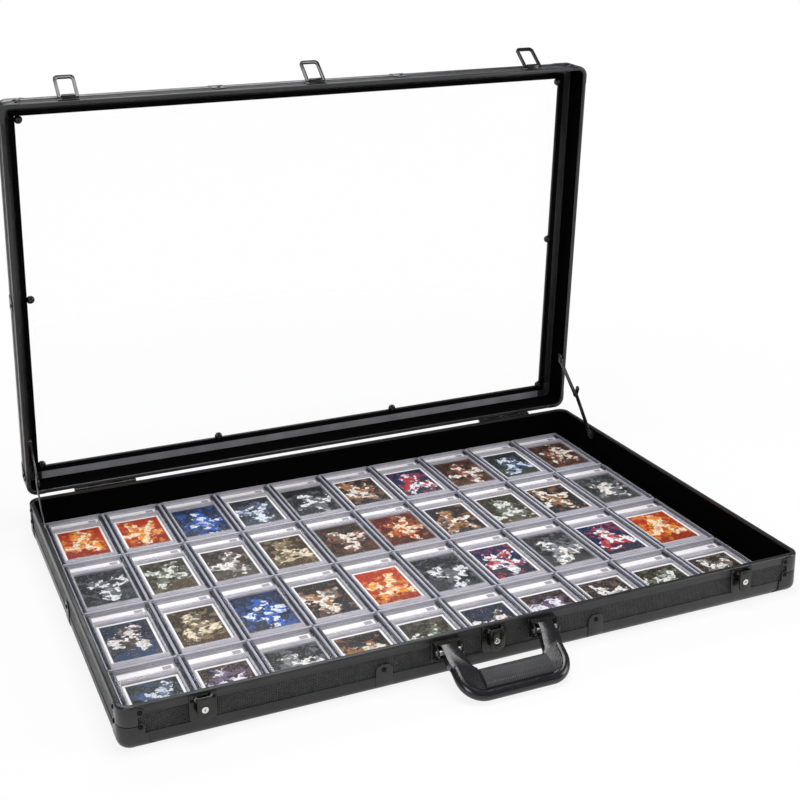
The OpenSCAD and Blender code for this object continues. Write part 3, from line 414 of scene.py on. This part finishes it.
# One finish for each slot: the shader, the name of the real material, and its settings. Grain and fibre in
# millimetres, pitch and depth in metres. Grain finer than a picture's points is drawn coarse enough to show
finishes = {
    # Anodised extrusions: an even satin black with a soft light along each edge
    "rail_black": (coatedMetal, "AnodisedAluminiumRail", {
        "dark": "#19191a", "light": "#29292b", "rough": 0.36, "grain": 0.5, "depth": 0.00006}),
    # Pressed sheet: dull black, with a painted highlight on the raised diamonds
    "panel_black": (pressedSheet, "PressedAluminiumSheet", {
        "dark": "#0d0d0e", "light": "#3a3a3c", "rough": 0.42, "pitch": 0.0038, "depth": 0.0008, "turn": 0}),
    # Powder coated castings: a little glossier than the rails
    "casting_black": (coatedMetal, "PowderCoatedCasting", {
        "dark": "#1a1a1b", "light": "#28282a", "rough": 0.3, "grain": 0.7, "depth": 0.00005}),
    # Blackened steel heads: dark, with a small metal glint
    "rivet_dark": (plainMetal, "BlackenedSteelRivet", {"tint": "#222224", "rough": 0.34}),
    # Felt: takes the light and gives next to none back
    "lining_black": (felt, "BlackFeltLining", {"dark": "#010101", "light": "#050505", "fibre": 0.6, "shine": 0.03}),
    "pad_black": (felt, "BlackFeltPad", {"dark": "#020202", "light": "#070708", "fibre": 0.5, "shine": 0.03}),
    # Board covered with matt paper
    "bottom_black": (coatedMetal, "MattCoatedBoard", {
        "dark": "#161617", "light": "#1f1f21", "rough": 0.6, "grain": 0.8, "depth": 0.0001}),
    # Enamelled latches: near black and glossy, slightly warm
    "latch_black": (coatedMetal, "BlackEnamelLatch", {
        "dark": "#0c0b09", "light": "#161512", "rough": 0.24, "grain": 0.6, "depth": 0.00004}),
    # Pins and keys: bright metal that mirrors the room in a small spot
    "steel_bright": (plainMetal, "PlatedSteelPin", {"tint": "#e4e4e6", "rough": 0.3}),
    "key_bright": (plainMetal, "NickelPlatedKey", {"tint": "#e0dfda", "rough": 0.18}),
    # Moulded handle: smooth, with long highlights along the rim
    "handle_black": (coatedMetal, "MouldedAbsHandle", {
        "dark": "#171718", "light": "#232325", "rough": 0.2, "grain": 0.9, "depth": 0.0001}),
    # Ribbed grip: softer and greyer than its frame
    "grip_black": (ribbedGrip, "MouldedPvcGrip", {
        "dark": "#29292b", "light": "#39393b", "rough": 0.4, "pitch": 0.0022, "depth": 0.0003}),
    # Clear acrylic: all but unseen, with a faint sheen
    "pane_clear": (clearSheet, "ClearAcrylicPane", {"tint": "#fafcfd", "alpha": 0.012, "shine": 0.2}),
    # Foam: dead black round the window
    "strip_black": (felt, "BlackFoamStrip", {"dark": "#020202", "light": "#060606", "fibre": 0.8, "shine": 0.1}),
    # Moulded clips: small glossy black spots on the window's edge
    "clip_black": (coatedMetal, "MouldedNylonClip", {
        "dark": "#0c0c0d", "light": "#151516", "rough": 0.2, "grain": 0.8, "depth": 0.00003}),
    # Moulded styrene shells, and the frame in them; the grey-white bands at their ends are a painted reflection,
    # their bright edges and side lines painted highlights
    "holder_clear": (holderPlastic, "ClearStyreneHolder", {
        "endDark": "#aeabb6", "endLight": "#ece9ef", "sideDark": "#2c303b", "sideLight": "#5a5e6c",
        "sideLine": "#9497a6", "edge": "#dcdae6", "rough": 0.1, "cover": 0.004, "ends": 0.35,
        "sides": 0.3, "shine": 0.22}),
    "frame_clear": (holderPlastic, "FrostedStyreneFrame", {
        "endDark": "#aaa7b2", "endLight": "#e8e5eb", "sideDark": "#23262f", "sideLight": "#474b58",
        "sideLine": "#7c7f8e", "edge": "#c3c1cf", "rough": 0.22, "cover": 0.8, "ends": 0.95,
        "sides": 0.95, "shine": 0.3}),
    # Printed card and label stock: flat colour with a low sheen
    "card_print": (cardFaces, "PrintedCardStock", cardPrint),
    "label_print": (labelFaces, "PrintedLabelPaper", labelPrint),
    # Enamelled steel links: thin dark bars with a narrow light
    "stay_black": (coatedMetal, "BlackEnamelStay", {
        "dark": "#131314", "light": "#1d1d1e", "rough": 0.26, "grain": 0.6, "depth": 0.00004}),
}
lidPanelTurn = 86  # the lid stands open, and its pressed rows with it
materials = {slot: make(name, settings) for slot, (make, name, settings) in finishes.items()}
lidSheet = {**finishes["panel_black"][2], "turn": lidPanelTurn}
materials["lid_panel"] = pressedSheet("PressedAluminiumLidSheet", lidSheet)
print("case: finishes made,", len(materials))


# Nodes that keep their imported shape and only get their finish
def dress(name, material):
    mesh = frame["nodes"][name].data
    mesh.materials.clear()
    mesh.materials.append(material)


for name, slot in slotOf.items():
    dress(name, materials["lid_panel" if name == "lid_panels" else slot])


# Metal and moulded nodes whose edges are broken, as on the real pieces: radius in metres
softEdges = {
    "handle_frame": 0.0022, "handle_brackets": 0.0005, "hasp_plates": 0.0004, "latch_plates": 0.0003,
    "hasp_loop_left": 0.0008, "hasp_loop_middle": 0.0008, "hasp_loop_right": 0.0008,
    "latch_lever_left": 0.0004, "latch_lever_middle": 0.0004, "latch_lever_right": 0.0004,
    "key_barrel_left": 0.0002, "key_barrel_middle": 0.0002, "key_barrel_right": 0.0002,
    "base_corners": 0.0003, "rim_corners": 0.0003, "lid_outer_corners": 0.0003, "lid_rim_corners": 0.0003,
    "tray_clamps": 0.0003, "lid_clamps": 0.0003, "pane_clips": 0.0006, "handle_grip": 0.0008,
    "stay_lower_left": 0.0003, "stay_lower_right": 0.0003, "stay_upper_left": 0.0003, "stay_upper_right": 0.0003,
    "stay_feet": 0.0003, "stay_heads": 0.0003, "base_rail_front": 0.0004, "base_rail_right": 0.0004,
    "base_rail_back": 0.0004, "base_rail_left": 0.0004, "rim_rails": 0.0003, "lid_rail_front": 0.0004,
    "lid_rail_right": 0.0004, "lid_rail_back": 0.0004, "lid_rail_left": 0.0004, "lid_rim_rails": 0.0003,
    "holder_fronts": 0.0005, "clear_pane": 0.0004, "tray_rivets": 0.0003, "lid_rivets": 0.0003,
}
edgeRules = {"merge": 0.000002, "flat": 1, "broken": 35, "sharp": 40, "segments": 2}  # angles in degrees


def putInScene(name, mesh, material):
    mesh.materials.append(material)
    piece = bpy.data.objects.new(name, mesh)
    bpy.context.scene.collection.objects.link(piece)
    return piece


def softened(name, radius):
    r = edgeRules
    shape = bmesh.new()
    shape.from_mesh(frame["nodes"][name].data)
    bmesh.ops.remove_doubles(shape, verts=shape.verts, dist=r["merge"])
    bmesh.ops.dissolve_limit(shape, angle_limit=math.radians(r["flat"]), verts=shape.verts, edges=shape.edges)
    broken = math.radians(r["broken"])
    corners = [e for e in shape.edges if len(e.link_faces) == 2 and e.calc_face_angle() > broken]
    bmesh.ops.bevel(shape, geom=corners, offset=radius, offset_type="OFFSET", segments=r["segments"], profile=0.5,
                    affect="EDGES", clamp_overlap=True, material=-1)
    pieceName = "".join(word.title() for word in name.split("_"))
    mesh = bpy.data.meshes.new(pieceName)
    shape.to_mesh(mesh)
    shape.free()
    for face in mesh.polygons:
        face.use_smooth = True
    mesh.set_sharp_from_angle(angle=math.radians(r["sharp"]))
    piece = putInScene(pieceName, mesh, materials[slotOf[name]])
    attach(piece, bodyOf[name])
    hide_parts(name)


for name, radius in softEdges.items():
    softened(name, radius)
print("case: edges broken on", len(softEdges), "pieces")


# Grey strip on the pane's edge along the hinge side of the lid, a painted reflection of the sheen the pane shows
# there, placed on the closed lid and turned up with it
paintedReflectionStrip = {
    "length": 0.80,
    "fromOutside": (0.0048, 0.0158),
    "caseBack": 0.273,
    "paneInside": 0.088,
    "thick": 0.0009,
    "bevel": 0.0004,
    "clear": 0.00005,
    "hinge": (0.2752, 0.05),
    "openAngle": 86,
    "finish": {"dark": "#77777a", "light": "#929294", "rough": 0.42, "grain": 0.8, "depth": 0.00004},
}


def makePaintedReflectionStrip(s):
    shape = bmesh.new()
    bmesh.ops.create_cube(shape, size=1.0)
    near, far = s["fromOutside"]
    middle = s["caseBack"] - (near + far) / 2
    height = s["paneInside"] - s["thick"] / 2 - s["clear"]
    turn = Matrix.Rotation(math.radians(-s["openAngle"]), 3, "X")
    bmesh.ops.scale(shape, vec=(s["length"], far - near, s["thick"]), verts=shape.verts)
    bmesh.ops.bevel(shape, geom=list(shape.edges), offset=s["bevel"], segments=2, profile=0.5,
                    affect="EDGES", material=-1)
    bmesh.ops.translate(shape, vec=(0, middle, height), verts=shape.verts)
    bmesh.ops.rotate(shape, cent=(0, *s["hinge"]), matrix=turn, verts=shape.verts)
    mesh = bpy.data.meshes.new("LidSillStrip")
    shape.to_mesh(mesh)
    shape.free()
    piece = putInScene("LidSillStrip", mesh, coatedMetal("SatinAluminiumStrip", s["finish"]))
    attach(piece, "lid")


makePaintedReflectionStrip(paintedReflectionStrip)
# the strip laid here is a painted reflection on the lid's pane
print("case: sill strip laid")


# Floor, light and background: the floor is lit paper near the case and turns to plain white away from it
stageSettings = {
    "floorHalf": 6.0,
    "floor": "#f4f4f4",
    "white": "#ffffff",
    "grey": "#6c6e71",
    "nearShare": 0.86,
    "fade": (0.6, 1.3),
}


def makeFloor(s):
    shape = bmesh.new()
    bmesh.ops.create_grid(shape, x_segments=1, y_segments=1, size=s["floorHalf"])
    mesh = bpy.data.meshes.new("floor")
    shape.to_mesh(mesh)
    shape.free()
    m = Shader("FloorPaper")
    m.set(Base_Color=colour(s["floor"]), Roughness=0.9, Specular_IOR_Level=0.1)
    glow = m.add("Emission", (colour(s["white"]), 1.0)).outputs[0]
    rays = m.add("LightPath").outputs
    mirrored = m.calc("MAXIMUM", rays["Is Glossy Ray"], rays["Is Transmission Ray"])
    seen = m.calc("MAXIMUM", rays["Is Camera Ray"], mirrored)
    away = m.add("VectorMath", (m.coords,), operation="LENGTH").outputs["Value"]
    share = m.calc("MULTIPLY", seen, m.span(away, *s["fade"], s["nearShare"], 1.0))
    blend = m.add("MixShader", (share, m.surface.outputs[0], glow)).outputs[0]
    m.put(m.tree.nodes["Material Output"].inputs["Surface"], blend)
    putInScene("floor", mesh, m.material)


def makeWorld(s):
    world = bpy.data.worlds.new("studio")
    bpy.context.scene.world = world
    world.use_nodes = True
    nodes, links = world.node_tree.nodes, world.node_tree.links
    rays = nodes.new("ShaderNodeLightPath")
    anyRay = nodes.new("ShaderNodeMath")
    anyRay.operation = "MAXIMUM"
    links.new(rays.outputs["Is Camera Ray"], anyRay.inputs[0])
    links.new(rays.outputs["Is Transmission Ray"], anyRay.inputs[1])
    tint = nodes.new("ShaderNodeMix")
    tint.data_type = "RGBA"
    links.new(anyRay.outputs[0], tint.inputs[0])
    tint.inputs[6].default_value = colour(s["grey"])
    tint.inputs[7].default_value = colour(s["white"])
    links.new(tint.outputs[2], nodes["Background"].inputs[0])


def makeLamp(name, place, target, size, power):
    data = bpy.data.lights.new(name, "AREA")
    data.shape = "RECTANGLE"
    data.size, data.size_y = size
    data.energy = power
    lamp = bpy.data.objects.new(name, data)
    lamp.location = place
    lamp.rotation_euler = (Vector(target) - Vector(place)).to_track_quat("-Z", "Y").to_euler()
    bpy.context.scene.collection.objects.link(lamp)


# Name, place, point it is aimed at, size in metres, watts
lamps = [
    ("overhead", (0.0, -0.1, 2.2), (0, 0, 0), (1.4, 1.0), 34),
    ("frontLeft", (-1.8, -1.9, 1.2), (0, 0, 0.1), (0.8, 1.4), 20),
    ("frontRight", (2.2, -1.4, 1.0), (0, 0, 0.1), (0.8, 1.4), 22),
    ("behind", (0.2, 2.2, 1.9), (0, 0, 0.1), (2.2, 0.5), 20),
]
makeFloor(stageSettings)
makeWorld(stageSettings)
for lamp in lamps:
    makeLamp(*lamp)
bpy.context.scene.view_settings.view_transform = "Standard"
print("case: floor, world and", len(lamps), "lamps set")
